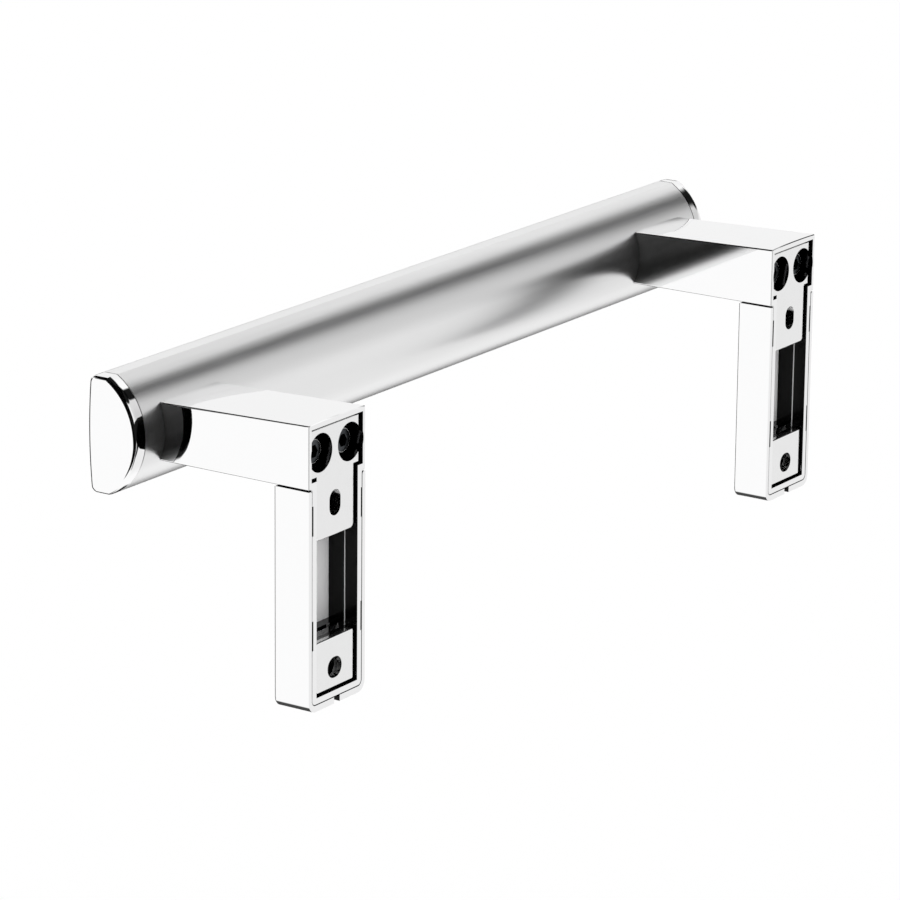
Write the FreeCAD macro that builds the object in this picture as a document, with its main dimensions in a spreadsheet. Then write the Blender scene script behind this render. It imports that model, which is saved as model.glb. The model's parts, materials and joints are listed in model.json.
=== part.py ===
import FreeCAD, Part
import Sketcher
import math
import os

# Wall grab bar: a D-shaped hollow rail carried in front of the wall by two posts. Each post is one
# casting, an arm with a leg frame under it, dressed by a clip-on leg cover. Two anchors in its wall
# side take the wall screws, and two long screws through the upper anchor pull the rail on to the arm.
# Frame: X along the rail, Y into the wall with the wall plane at Y = 0, Z up. The origin lies on the
# wall plane, midway between the posts, at the height of the upper wall-screw slots.

VECTOR = FreeCAD.Vector
SIDE_AXIS = VECTOR(0, 1, 0)
HALF_TURN = 180.0
QUARTER_TURN = 90.0
DRIVE_SIDES = 6
SNAP_LEVELS = (1, 2)
SCREW_PLACES = ("screw_right", "screw_left")

# Driving sizes in millimetres: name, value, meaning
SIZES = (
    ("post_spacing", 300.0, "between the middles of the two posts"),
    ("post_width", 32.2, "arm and leg cover across"),
    ("arm_rise", 7.8, "arm underside above the upper wall-screw slots"),
    ("arm_height", 22.4, "arm at the wall"),
    ("arm_drop", 1.8, "fall of the arm top from the wall to the rail"),
    ("arm_crown", 0.3, "rise of the arm top in the middle of its width"),
    ("arm_edge", 0.5, "rounding of the long arm edges"),
    ("arm_mouth_edge", 0.3, "broken edge of the arm and leg frame at the wall"),
    ("saddle_gap", 0.12, "between the arm saddle and the rail"),
    ("rail_standoff", 59.3, "wall to the back of the rail"),
    ("rail_thickness", 20.1, "rail from back to front"),
    ("rail_height", 40.8, "rail from bottom to top"),
    ("rail_back_swell", 11.8, "how far the round back of the rail stands behind its flat top"),
    ("rail_bulge", 1.0, "how far the front of the rail swells"),
    ("rail_edge", 2.6, "rounding of the two front edges"),
    ("rail_wall", 2.2, "wall of the hollow rail"),
    ("rail_overhang", 10.4, "rail beyond the outer side of each post, without its cap"),
    ("rail_lift", 10.3, "middle of the rail above the arm underside"),
    ("rail_end_break", 0.2, "broken outer edge at each rail end"),
    ("cap_side", 4.5, "straight side of an end cap"),
    ("cap_bevel", 1.2, "bevel between the side of an end cap and its face"),
    ("cap_bevel_edge", 0.4, "broken edges of that bevel"),
    ("cap_pin_radius", 3.0, "pin inside an end cap"),
    ("cap_pin_length", 9.0, "pin inside an end cap"),
    ("plug_length", 12.5, "plug that carries an end cap"),
    ("plug_floor", 3.0, "closed end of the plug"),
    ("plug_wall", 2.0, "wall of the plug"),
    ("plug_gap", 0.1, "between the plug and the rail"),
    ("plug_boss_wall", 1.8, "boss round the cap pin"),
    ("plug_pin_gap", 0.05, "between the cap pin and its boss"),
    ("leg_drop", 77.7, "bottom of the leg cover below the arm underside"),
    ("leg_depth", 14.2, "leg cover from the wall to its front"),
    ("cover_gap", 0.5, "between the leg cover and the arm underside"),
    ("cover_side_wall", 1.7, "side walls of the leg cover"),
    ("cover_front_wall", 1.5, "front wall of the leg cover"),
    ("cover_bottom_wall", 2.2, "bottom wall of the leg cover"),
    ("cover_corner", 3.8, "outer bottom corners of the leg cover"),
    ("cover_edge", 0.6, "rounding of the cover's front edges"),
    ("cover_lip", 1.0, "inner rounding of the cover's top ends"),
    ("cover_fit", 0.1, "between the leg cover and the leg frame"),
    ("notch_width", 3.3, "prying notch in the cover's bottom wall"),
    ("notch_depth", 5.0, "prying notch from the wall forwards"),
    ("frame_wall", 2.6, "side walls of the leg frame at the wall"),
    ("frame_front_wall", 1.5, "side walls of the leg frame behind the cover"),
    ("frame_step", 5.9, "depth at which those walls turn thin"),
    ("frame_bottom_wall", 2.35, "bottom wall of the leg frame"),
    ("frame_step_edge", 1.0, "rounding of the step in those walls"),
    ("frame_root", 0.9, "rounding where the leg frame meets the arm"),
    ("snap_height", 10.3, "each snap pocket in the leg frame"),
    ("snap_depth", 4.0, "snap pocket from the wall forwards"),
    ("snap_bite", 0.75, "snap pocket into the frame wall"),
    ("snap_drop", 16.1, "bottom of the upper pockets below the arm underside"),
    ("snap_rise", 21.8, "bottom of the lower pockets above the bottom of the leg cover"),
    ("snap_rib_bite", 0.6, "snap rib of the cover into its pocket"),
    ("snap_rib_length", 1.5, "snap rib along the depth"),
    ("snap_rib_gap", 0.5, "pocket beyond each end of its rib"),
    ("rim_side", 1.5, "rim of the arm beside the upper anchor"),
    ("rim_top", 2.0, "rim of the arm above the upper anchor"),
    ("rim_step", 2.3, "shoulder below the upper anchor, above the underside"),
    ("anchor_recess", 0.95, "anchor faces behind the wall plane"),
    ("anchor_side_gap", 1.05, "beside each anchor"),
    ("anchor_end_gap", 0.75, "above and below the anchors"),
    ("anchor_depth", 13.0, "block of the upper anchor"),
    ("anchor_edge", 0.25, "broken edges round the anchor faces"),
    ("tongue_thickness", 3.5, "tongue of the upper anchor"),
    ("tongue_gap", 0.15, "between the tongue and the arm wall in front of it"),
    ("tongue_drop", 19.0, "end of the tongue below the arm underside"),
    ("tongue_corner", 2.0, "corners of the tongue"),
    ("slot_width", 6.3, "upper wall-screw slot across"),
    ("slot_height", 9.0, "upper wall-screw slot upright"),
    ("hole_width", 8.1, "lower wall-screw hole across"),
    ("hole_height", 7.4, "lower wall-screw hole upright"),
    ("hole_rise", 6.9, "middle of that hole above the bottom of the lower anchor"),
    ("foot_height", 17.9, "lower anchor upright"),
    ("foot_thickness", 1.9, "plate of the lower anchor"),
    ("foot_corner", 0.8, "corners of the lower anchor"),
    ("ledge_thickness", 2.0, "ledge that backs the lower anchor"),
    ("ledge_hole_radius", 5.2, "hole in that ledge"),
    ("rib_rise", 0.9, "top of the cross rib above the lower anchor"),
    ("rib_thickness", 1.3, "cross rib upright"),
    ("rib_depth", 3.7, "cross rib behind the cover's front wall"),
    ("bore_bite", 0.4, "how far the counterbores cut into the rims of the arm"),
    ("screw_rise", 11.2, "rail screws above the arm underside"),
    ("bore_radius", 6.7, "counterbore for a rail screw"),
    ("bore_floor", 9.7, "bottom of the counterbore from the wall"),
    ("screw_radius", 2.5, "shank of a rail screw"),
    ("screw_inset", 0.12, "tip of a rail screw behind the front of its thread block"),
    ("screw_clearance", 0.25, "round the shank in the arm and the rail"),
    ("screw_tip", 0.6, "chamfer at the tip of the shank"),
    ("thread_gap", 0.02, "between the shank and its thread in the block"),
    ("head_radius", 4.25, "head of a rail screw"),
    ("head_height", 5.0, "head of a rail screw"),
    ("drive_width", 4.0, "hexagon socket across flats"),
    ("drive_depth", 3.0, "hexagon socket"),
    ("washer_radius", 6.0, "washer under a screw head"),
    ("washer_thickness", 1.0, "washer under a screw head"),
    ("block_width", 26.0, "thread block along the rail"),
    ("block_height", 17.0, "thread block upright"),
    ("block_thickness", 7.5, "thread block from back to front"),
    ("block_gap", 0.12, "between the thread block and the rail"),
)

# Places worked out from the driving sizes: name, formula
PLACES = (
    ("post_middle", "Sizes.post_spacing / 2"),
    ("post_half", "Sizes.post_width / 2"),
    ("underside", "Sizes.arm_rise"),
    ("rail_middle", "Sizes.arm_rise + Sizes.rail_lift"),
    ("rail_half", "post_middle + post_half + Sizes.rail_overhang"),
    ("rail_length", "2 * rail_half"),
    # Section of the rail, seen along it: forward is negative
    ("rail_flat", "Sizes.rail_height / 2"),
    ("rail_back_radius", "(pow(rail_flat; 2) + pow(Sizes.rail_back_swell; 2)) / (2 * Sizes.rail_back_swell)"),
    ("rail_back_centre", "-(Sizes.rail_standoff + rail_back_radius)"),
    ("rail_front_radius", "(pow(rail_flat; 2) + pow(Sizes.rail_bulge; 2)) / (2 * Sizes.rail_bulge)"),
    ("rail_front_centre", "rail_front_radius - Sizes.rail_standoff - Sizes.rail_thickness"),
    ("rail_corner", "Sizes.rail_edge"),
    ("bore_back_radius", "rail_back_radius - Sizes.rail_wall"),
    ("bore_flat", "rail_flat - Sizes.rail_wall"),
    ("bore_front_radius", "rail_front_radius - Sizes.rail_wall"),
    ("bore_corner", "max(Sizes.rail_edge - Sizes.rail_wall; Sizes.rail_wall / 8)"),
    ("cap_length", "Sizes.cap_side + Sizes.cap_bevel"),
    ("plug_back_radius", "bore_back_radius - Sizes.plug_gap"),
    ("plug_flat", "bore_flat - Sizes.plug_gap"),
    ("plug_front_radius", "bore_front_radius - Sizes.plug_gap"),
    ("plug_corner", "Sizes.plug_wall / 2"),
    ("hollow_back_radius", "plug_back_radius - Sizes.plug_wall"),
    ("hollow_flat", "plug_flat - 2 * Sizes.plug_wall"),
    ("hollow_front_radius", "plug_front_radius - Sizes.plug_wall"),
    ("hollow_corner", "Sizes.plug_wall / 4"),
    ("pin_centre", "-(Sizes.rail_standoff + Sizes.rail_thickness / 2)"),
    ("boss_bore_radius", "Sizes.cap_pin_radius + Sizes.plug_pin_gap"),
    ("boss_radius", "boss_bore_radius + Sizes.plug_boss_wall"),
    ("boss_length", "Sizes.cap_pin_length + Sizes.plug_wall"),
    ("plug_mouth", "-Sizes.plug_length"),
    ("plug_hollow", "Sizes.plug_length - Sizes.plug_floor"),
    # Arm
    ("arm_bottom", "Sizes.arm_rise"),
    ("arm_top", "Sizes.arm_rise + Sizes.arm_height"),
    ("arm_shoulder", "arm_top - Sizes.arm_crown"),
    ("arm_reach", "Sizes.rail_standoff + Sizes.rail_back_swell / 2"),
    ("arm_end_top", "arm_top - Sizes.arm_drop * arm_reach / Sizes.rail_standoff"),
    ("arm_end_shoulder", "arm_end_top - Sizes.arm_crown"),
    ("crown_radius", "(pow(post_half; 2) + pow(Sizes.arm_crown; 2)) / (2 * Sizes.arm_crown)"),
    ("saddle_radius", "rail_back_radius + Sizes.saddle_gap"),
    # Leg cover
    ("cover_bottom", "underside - Sizes.leg_drop"),
    ("cover_top", "underside - Sizes.cover_gap"),
    ("cover_inner_half", "post_half - Sizes.cover_side_wall"),
    ("cover_inner_bottom", "cover_bottom + Sizes.cover_bottom_wall"),
    ("cover_inner_top", "cover_top + Sizes.cover_gap"),
    ("cover_inner_depth", "Sizes.leg_depth - Sizes.cover_front_wall"),
    ("cover_inner_corner", "max(Sizes.cover_corner - Sizes.cover_side_wall; Sizes.cover_corner / 4)"),
    ("notch_half", "Sizes.notch_width / 2"),
    ("notch_bottom", "cover_bottom - Sizes.cover_bottom_wall / 2"),
    ("notch_top", "cover_inner_bottom + Sizes.cover_fit / 2"),
    # Leg frame
    ("frame_half", "cover_inner_half - Sizes.cover_fit"),
    ("frame_bottom", "cover_inner_bottom + Sizes.cover_fit"),
    ("frame_top", "underside + Sizes.rim_step / 2"),
    ("frame_depth", "cover_inner_depth - Sizes.cover_fit"),
    ("frame_corner", "max(cover_inner_corner - Sizes.cover_fit; cover_inner_corner / 2)"),
    ("window_half", "frame_half - Sizes.frame_wall"),
    ("window_front_half", "frame_half - Sizes.frame_front_wall"),
    ("window_bottom", "frame_bottom + Sizes.frame_bottom_wall"),
    ("leg_room", "Sizes.leg_depth"),
    ("web_half", "frame_half - Sizes.frame_front_wall / 2"),
    ("web_bottom", "window_bottom - Sizes.frame_bottom_wall / 2"),
    ("snap_floor", "frame_half - Sizes.snap_bite"),
    ("snap_mouth", "frame_half + Sizes.cover_side_wall / 2"),
    ("snap_bottom_1", "underside - Sizes.snap_drop"),
    ("snap_top_1", "snap_bottom_1 + Sizes.snap_height"),
    ("snap_bottom_2", "cover_bottom + Sizes.snap_rise"),
    ("snap_top_2", "snap_bottom_2 + Sizes.snap_height"),
    ("snap_rib_floor", "frame_half - Sizes.snap_rib_bite"),
    ("snap_rib_root", "cover_inner_half + Sizes.cover_side_wall / 2"),
    ("snap_rib_start", "Sizes.snap_depth - Sizes.cover_fit - Sizes.snap_rib_length"),
    ("snap_rib_bottom_1", "snap_bottom_1 + Sizes.snap_rib_gap"),
    ("snap_rib_top_1", "snap_top_1 - Sizes.snap_rib_gap"),
    ("snap_rib_bottom_2", "snap_bottom_2 + Sizes.snap_rib_gap"),
    ("snap_rib_top_2", "snap_top_2 - Sizes.snap_rib_gap"),
    # Recess of the arm and the upper anchor in it
    ("recess_half", "post_half - Sizes.rim_side"),
    ("recess_bottom", "underside + Sizes.rim_step"),
    ("recess_top", "arm_top - Sizes.rim_top"),
    ("recess_floor", "Sizes.anchor_recess + Sizes.anchor_depth"),
    ("tongue_room", "Sizes.anchor_recess + Sizes.tongue_thickness + Sizes.tongue_gap"),
    ("tongue_room_bottom", "underside - Sizes.rim_step / 2"),
    ("tongue_room_top", "recess_bottom + Sizes.anchor_end_gap"),
    ("block_half", "recess_half - Sizes.anchor_side_gap"),
    ("block_bottom", "recess_bottom + Sizes.anchor_end_gap"),
    ("block_top", "recess_top - Sizes.anchor_end_gap"),
    ("tongue_half", "window_half - Sizes.anchor_side_gap"),
    ("tongue_bottom", "underside - Sizes.tongue_drop"),
    ("tongue_top", "block_bottom + Sizes.tongue_corner"),
    ("slot_radius", "Sizes.slot_width / 2"),
    ("slot_reach", "(Sizes.slot_height - Sizes.slot_width) / 2"),
    # Lower anchor and what backs it
    ("foot_bottom", "window_bottom + Sizes.anchor_end_gap"),
    ("foot_top", "foot_bottom + Sizes.foot_height"),
    ("hole_radius", "Sizes.hole_height / 2"),
    ("hole_reach", "(Sizes.hole_width - Sizes.hole_height) / 2"),
    ("hole_level", "foot_bottom + Sizes.hole_rise"),
    ("ledge_start", "Sizes.anchor_recess + Sizes.foot_thickness"),
    ("rib_top", "foot_top + Sizes.rib_rise"),
    ("rib_bottom", "rib_top - Sizes.rib_thickness"),
    ("rib_start", "frame_depth - Sizes.rib_depth"),
    # Rail screws, washers and thread blocks
    ("screw_half_pitch", "recess_half + Sizes.bore_bite - Sizes.bore_radius"),
    ("screw_right", "screw_half_pitch"),
    ("screw_left", "-screw_half_pitch"),
    ("screw_level", "underside + Sizes.screw_rise"),
    ("screw_over_rail", "Sizes.screw_rise - Sizes.rail_lift"),
    ("shank_hole_radius", "Sizes.screw_radius + Sizes.screw_clearance"),
    ("head_seat", "Sizes.bore_floor - Sizes.washer_thickness"),
    ("block_back_radius", "bore_back_radius - Sizes.block_gap"),
    ("block_back_half", "Sizes.block_height / 2"),
    ("block_front", "rail_back_centre + block_back_radius - Sizes.block_thickness"),
    ("screw_length", "-block_front - Sizes.screw_inset - head_seat"),
    ("shank_straight", "screw_length - Sizes.screw_tip"),
    ("tip_radius", "Sizes.screw_radius - Sizes.screw_tip"),
    ("drive_radius", "Sizes.drive_width / sqrt(3)"),
    ("rail_hole_reach", "Sizes.rail_standoff + Sizes.rail_thickness / 2"),
    ("rail_hole_inner", "post_middle - screw_half_pitch"),
    ("rail_hole_outer", "post_middle + screw_half_pitch"),
    ("thread_radius", "Sizes.screw_radius + Sizes.thread_gap"),
)

doc = FreeCAD.newDocument("GrabBar")


def make_sheets():
    """Fill one sheet with the driving sizes and one with the places worked out from them."""
    sizes = doc.addObject("Spreadsheet::Sheet", "Sizes")
    for row, (name, number, meaning) in enumerate(SIZES, start=1):
        sizes.set(f"A{row}", meaning)
        sizes.set(f"B{row}", str(number))
        sizes.setAlias(f"B{row}", name)
    places = doc.addObject("Spreadsheet::Sheet", "Places")
    for row, (name, formula) in enumerate(PLACES, start=1):
        places.set(f"A{row}", name)
        places.setAlias(f"B{row}", name)
        places.set(f"B{row}", "=" + formula)
    doc.recompute()
    return sizes, places


sizes_sheet, places_sheet = make_sheets()
SIZE_NAMES = {name for name, number, meaning in SIZES}


def path(name):
    """Return the sheet path of a named value."""
    return ("Sizes." if name in SIZE_NAMES else "Places.") + name


def value(name):
    """Return a named value as a plain number."""
    return float(getattr(sizes_sheet if name in SIZE_NAMES else places_sheet, name))


def bind(thing, prop, name):
    """Drive one property of an object from a named value."""
    thing.setExpression(prop, path(name))


# Sketches

def new_body(label):
    """Start a body that carries one sub-part."""
    body = doc.addObject("PartDesign::Body", label)
    body.Label = label
    return body


def new_sketch(body, role, offset=None):
    """Attach a sketch to one of the body's own planes, moved along its normal by a named value."""
    plane = next(item for item in body.Origin.OriginFeatures if item.Role == role)
    sketch = body.newObject("Sketcher::SketchObject", f"{body.Name}_sketch")
    sketch.AttachmentSupport = [(plane, "")]
    sketch.MapMode = "FlatFace"
    if offset:
        sketch.AttachmentOffset = FreeCAD.Placement(VECTOR(0, 0, value(offset)), FreeCAD.Rotation())
        bind(sketch, "AttachmentOffset.Base.z", offset)
    return sketch


def dimension(sketch, kind, where, name):
    """Add a dimension to a sketch and drive it from a named value."""
    index = sketch.addConstraint(Sketcher.Constraint(kind, *where, value(name)))
    tag = f"{name}_{index}"
    sketch.renameConstraint(index, tag)
    bind(sketch, f"Constraints.{tag}", name)


def line(sketch, start, end):
    return sketch.addGeometry(Part.LineSegment(VECTOR(*start, 0), VECTOR(*end, 0)), False)


def arc(sketch, centre, radius, start, end):
    """Add an arc that runs anticlockwise between two angles in radians."""
    circle = Part.Circle(VECTOR(*centre, 0), VECTOR(0, 0, 1), radius)
    return sketch.addGeometry(Part.ArcOfCircle(circle, start, end), False)


def join(sketch, *pairs):
    for first, first_end, second, second_end in pairs:
        sketch.addConstraint(Sketcher.Constraint("Coincident", first, first_end, second, second_end))


def smooth(sketch, *pairs):
    for first, first_end, second, second_end in pairs:
        sketch.addConstraint(Sketcher.Constraint("Tangent", first, first_end, second, second_end))


def draw_rectangle(sketch, half, bottom, top):
    """Draw a rectangle that is centred across, from one level to another."""
    wide, low, high = value(half), value(bottom), value(top)
    base = line(sketch, (-wide, low), (wide, low))
    right = line(sketch, (wide, low), (wide, high))
    lid = line(sketch, (wide, high), (-wide, high))
    left = line(sketch, (-wide, high), (-wide, low))
    join(sketch, (base, 2, right, 1), (right, 2, lid, 1), (lid, 2, left, 1), (left, 2, base, 1))
    sketch.addConstraint(Sketcher.Constraint("Horizontal", lid))
    for upright in (right, left):
        sketch.addConstraint(Sketcher.Constraint("Vertical", upright))
    sketch.addConstraint(Sketcher.Constraint("Symmetric", base, 1, base, 2, -2))
    dimension(sketch, "DistanceX", (-1, 1, right, 1), half)
    dimension(sketch, "DistanceY", (-1, 1, right, 1), bottom)
    dimension(sketch, "DistanceY", (-1, 1, right, 2), top)


def draw_tub(sketch, half, bottom, top, corner):
    """Draw a rectangle that is centred across, with its two bottom corners rounded."""
    wide, low, high, round_ = value(half), value(bottom), value(top), value(corner)
    base = line(sketch, (round_ - wide, low), (wide - round_, low))
    turn_right = arc(sketch, (wide - round_, low + round_), round_, -math.pi / 2, 0)
    right = line(sketch, (wide, low + round_), (wide, high))
    lid = line(sketch, (wide, high), (-wide, high))
    left = line(sketch, (-wide, high), (-wide, low + round_))
    turn_left = arc(sketch, (round_ - wide, low + round_), round_, math.pi, 1.5 * math.pi)
    smooth(sketch, (base, 2, turn_right, 1), (turn_right, 2, right, 1))
    smooth(sketch, (left, 2, turn_left, 1), (turn_left, 2, base, 1))
    join(sketch, (right, 2, lid, 1), (lid, 2, left, 1))
    sketch.addConstraint(Sketcher.Constraint("Horizontal", base))
    for upright in (right, left):
        sketch.addConstraint(Sketcher.Constraint("Vertical", upright))
    sketch.addConstraint(Sketcher.Constraint("Symmetric", right, 2, left, 1, -2))
    sketch.addConstraint(Sketcher.Constraint("Equal", turn_right, turn_left))
    dimension(sketch, "Radius", (turn_right,), corner)
    dimension(sketch, "DistanceX", (-1, 1, right, 2), half)
    dimension(sketch, "DistanceY", (-1, 1, base, 1), bottom)
    dimension(sketch, "DistanceY", (-1, 1, right, 2), top)


def draw_rectangle_pair(sketch, inner, outer, bottom, top):
    """Draw a rectangle on the right and its mirror image on the left."""
    near, far, low, high = value(inner), value(outer), value(bottom), value(top)
    sides = []
    for sign in (1, -1):
        corners = ((sign * near, low), (sign * far, low), (sign * far, high), (sign * near, high))
        loop = [line(sketch, corners[k], corners[(k + 1) % 4]) for k in range(4)]
        join(sketch, *((loop[k], 2, loop[(k + 1) % 4], 1) for k in range(4)))
        for level in (loop[0], loop[2]):
            sketch.addConstraint(Sketcher.Constraint("Horizontal", level))
        for upright in (loop[1], loop[3]):
            sketch.addConstraint(Sketcher.Constraint("Vertical", upright))
        sides.append(loop)
    right, left = sides
    sketch.addConstraint(Sketcher.Constraint("Symmetric", right[0], 1, left[0], 1, -2))
    sketch.addConstraint(Sketcher.Constraint("Symmetric", right[2], 1, left[2], 1, -2))
    dimension(sketch, "DistanceX", (-1, 1, right[0], 1), inner)
    dimension(sketch, "DistanceX", (-1, 1, right[0], 2), outer)
    dimension(sketch, "DistanceY", (-1, 1, right[0], 1), bottom)
    dimension(sketch, "DistanceY", (-1, 1, right[2], 1), top)


def draw_circle(sketch, across, level, radius):
    """Draw a circle; with no name for a coordinate it sits on that axis."""
    centre = VECTOR(value(across) if across else 0, value(level) if level else 0, 0)
    ring = sketch.addGeometry(Part.Circle(centre, VECTOR(0, 0, 1), value(radius)), False)
    if across:
        dimension(sketch, "DistanceX", (-1, 1, ring, 3), across)
    else:
        sketch.addConstraint(Sketcher.Constraint("PointOnObject", ring, 3, -2))
    if level:
        dimension(sketch, "DistanceY", (-1, 1, ring, 3), level)
    else:
        sketch.addConstraint(Sketcher.Constraint("PointOnObject", ring, 3, -1))
    dimension(sketch, "Radius", (ring,), radius)
    return ring


def draw_circle_pair(sketch, across, level, radius):
    """Draw a circle on the right and its mirror image on the left."""
    right = draw_circle(sketch, across, level, radius)
    centre = VECTOR(-value(across), value(level), 0)
    left = sketch.addGeometry(Part.Circle(centre, VECTOR(0, 0, 1), value(radius)), False)
    sketch.addConstraint(Sketcher.Constraint("Symmetric", right, 3, left, 3, -2))
    sketch.addConstraint(Sketcher.Constraint("Equal", right, left))


def draw_upright_slot(sketch, reach, radius):
    """Draw an upright slot about the sketch's origin; reach is from its middle to its end centres."""
    up, wide = value(reach), value(radius)
    top = arc(sketch, (0, up), wide, 0, math.pi)
    left = line(sketch, (-wide, up), (-wide, -up))
    low = arc(sketch, (0, -up), wide, math.pi, 2 * math.pi)
    right = line(sketch, (wide, -up), (wide, up))
    smooth(sketch, (top, 2, left, 1), (left, 2, low, 1), (low, 2, right, 1), (right, 2, top, 1))
    sketch.addConstraint(Sketcher.Constraint("Symmetric", top, 3, low, 3, -1, 1))
    sketch.addConstraint(Sketcher.Constraint("PointOnObject", top, 3, -2))
    sketch.addConstraint(Sketcher.Constraint("Equal", top, low))
    dimension(sketch, "DistanceY", (-1, 1, top, 3), reach)
    dimension(sketch, "Radius", (top,), radius)


def draw_level_slot(sketch, level, reach, radius):
    """Draw a level slot, centred across; reach is from its middle to its end centres."""
    height, side, wide = value(level), value(reach), value(radius)
    right = arc(sketch, (side, height), wide, -math.pi / 2, math.pi / 2)
    top = line(sketch, (side, height + wide), (-side, height + wide))
    left = arc(sketch, (-side, height), wide, math.pi / 2, 1.5 * math.pi)
    low = line(sketch, (-side, height - wide), (side, height - wide))
    smooth(sketch, (right, 2, top, 1), (top, 2, left, 1), (left, 2, low, 1), (low, 2, right, 1))
    sketch.addConstraint(Sketcher.Constraint("Symmetric", right, 3, left, 3, -2))
    sketch.addConstraint(Sketcher.Constraint("Equal", right, left))
    dimension(sketch, "DistanceX", (-1, 1, right, 3), reach)
    dimension(sketch, "DistanceY", (-1, 1, right, 3), level)
    dimension(sketch, "Radius", (right,), radius)


def draw_arm_section(sketch, shoulder, top):
    """Draw the arm's section: flat underside and sides under a slightly crowned top."""
    wide, low = value("post_half"), value("arm_bottom")
    edge, crown = value(shoulder), value("crown_radius")
    swing = math.asin(wide / crown)
    base = line(sketch, (-wide, low), (wide, low))
    right = line(sketch, (wide, low), (wide, edge))
    lid = arc(sketch, (0, value(top) - crown), crown, math.pi / 2 - swing, math.pi / 2 + swing)
    left = line(sketch, (-wide, edge), (-wide, low))
    join(sketch, (base, 2, right, 1), (right, 2, lid, 1), (lid, 2, left, 1), (left, 2, base, 1))
    for upright in (right, left):
        sketch.addConstraint(Sketcher.Constraint("Vertical", upright))
    sketch.addConstraint(Sketcher.Constraint("Symmetric", base, 1, base, 2, -2))
    sketch.addConstraint(Sketcher.Constraint("PointOnObject", lid, 3, -2))
    dimension(sketch, "DistanceX", (-1, 1, right, 1), "post_half")
    dimension(sketch, "DistanceY", (-1, 1, right, 1), "arm_bottom")
    dimension(sketch, "DistanceY", (-1, 1, right, 2), shoulder)
    dimension(sketch, "Radius", (lid,), "crown_radius")


def draw_rail_section(sketch, back, flat, front, corner):
    """Draw the rail's D: round back, flat top and bottom, slightly swollen front, rounded edges."""
    back_centre, front_centre = value("rail_back_centre"), value("rail_front_centre")
    back_radius, half, front_radius, edge = value(back), value(flat), value(front), value(corner)
    shoulder = back_centre + math.sqrt(back_radius ** 2 - half ** 2)
    edge_across = front_centre - math.sqrt((front_radius - edge) ** 2 - (half - edge) ** 2)
    edge_turn = math.atan2(half - edge, edge_across - front_centre)
    back_turn = math.asin(half / back_radius)
    rear = arc(sketch, (back_centre, 0), back_radius, -back_turn, back_turn)
    lid = line(sketch, (shoulder, half), (edge_across, half))
    upper = arc(sketch, (edge_across, half - edge), edge, math.pi / 2, edge_turn)
    face = arc(sketch, (front_centre, 0), front_radius, edge_turn, 2 * math.pi - edge_turn)
    lower = arc(sketch, (edge_across, edge - half), edge, 2 * math.pi - edge_turn, 1.5 * math.pi)
    base = line(sketch, (edge_across, -half), (shoulder, -half))
    join(sketch, (rear, 2, lid, 1), (base, 2, rear, 1))
    smooth(sketch, (lid, 2, upper, 1), (upper, 2, face, 1), (face, 2, lower, 1), (lower, 2, base, 1))
    for level in (lid, base):
        sketch.addConstraint(Sketcher.Constraint("Horizontal", level))
    for bend in (rear, face):
        sketch.addConstraint(Sketcher.Constraint("PointOnObject", bend, 3, -1))
    sketch.addConstraint(Sketcher.Constraint("Equal", upper, lower))
    dimension(sketch, "DistanceX", (-1, 1, rear, 3), "rail_back_centre")
    dimension(sketch, "Radius", (rear,), back)
    dimension(sketch, "DistanceX", (-1, 1, face, 3), "rail_front_centre")
    dimension(sketch, "Radius", (face,), front)
    dimension(sketch, "DistanceY", (-1, 1, lid, 1), flat)
    dimension(sketch, "DistanceY", (base, 1, -1, 1), flat)
    dimension(sketch, "Radius", (upper,), corner)


def draw_block_section(sketch):
    """Draw the thread block's section: a back that follows the rail's bore, flat on its other sides."""
    centre, radius = value("rail_back_centre"), value("block_back_radius")
    half, front = value("block_back_half"), value("block_front")
    swing = math.asin(half / radius)
    shoulder = centre + math.sqrt(radius ** 2 - half ** 2)
    rear = arc(sketch, (centre, 0), radius, -swing, swing)
    lid = line(sketch, (shoulder, half), (front, half))
    face = line(sketch, (front, half), (front, -half))
    base = line(sketch, (front, -half), (shoulder, -half))
    join(sketch, (rear, 2, lid, 1), (lid, 2, face, 1), (face, 2, base, 1), (base, 2, rear, 1))
    for level in (lid, base):
        sketch.addConstraint(Sketcher.Constraint("Horizontal", level))
    sketch.addConstraint(Sketcher.Constraint("Vertical", face))
    sketch.addConstraint(Sketcher.Constraint("PointOnObject", rear, 3, -1))
    dimension(sketch, "DistanceX", (-1, 1, rear, 3), "rail_back_centre")
    dimension(sketch, "Radius", (rear,), "block_back_radius")
    dimension(sketch, "DistanceY", (-1, 1, lid, 1), "block_back_half")
    dimension(sketch, "DistanceY", (base, 1, -1, 1), "block_back_half")
    dimension(sketch, "DistanceX", (-1, 1, face, 1), "block_front")


# Features

def pad(body, sketch, length, symmetric=False, backwards=False):
    """Raise a sketch along its normal by a named length."""
    feature = body.newObject("PartDesign::Pad", f"{body.Name}_pad")
    feature.Profile = sketch
    feature.Length = value(length)
    bind(feature, "Length", length)
    feature.SideType = "Symmetric" if symmetric else "One side"
    feature.Reversed = backwards
    doc.recompute()
    return feature


def pocket(body, sketch, length=None, symmetric=False, along_normal=True):
    """Cut a sketch into the body, by a named depth or right through, and see that it cut."""
    before = body.Shape.Volume
    feature = body.newObject("PartDesign::Pocket", f"{body.Name}_pocket")
    feature.Profile = sketch
    if length:
        feature.Type = "Length"
        feature.Length = value(length)
        bind(feature, "Length", length)
    else:
        feature.Type = "ThroughAll"
    feature.SideType = "Symmetric" if symmetric else "One side"
    feature.Reversed = along_normal
    doc.recompute()
    if not body.Shape.Volume < before:
        raise RuntimeError(f"{feature.Name} cut nothing from {body.Label}")
    return feature


def edges_like(feature, test):
    """Name the edges of a feature that pass a test."""
    edges = feature.Shape.Edges
    return [f"Edge{number}" for number, edge in enumerate(edges, start=1) if test(edge)]


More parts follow.
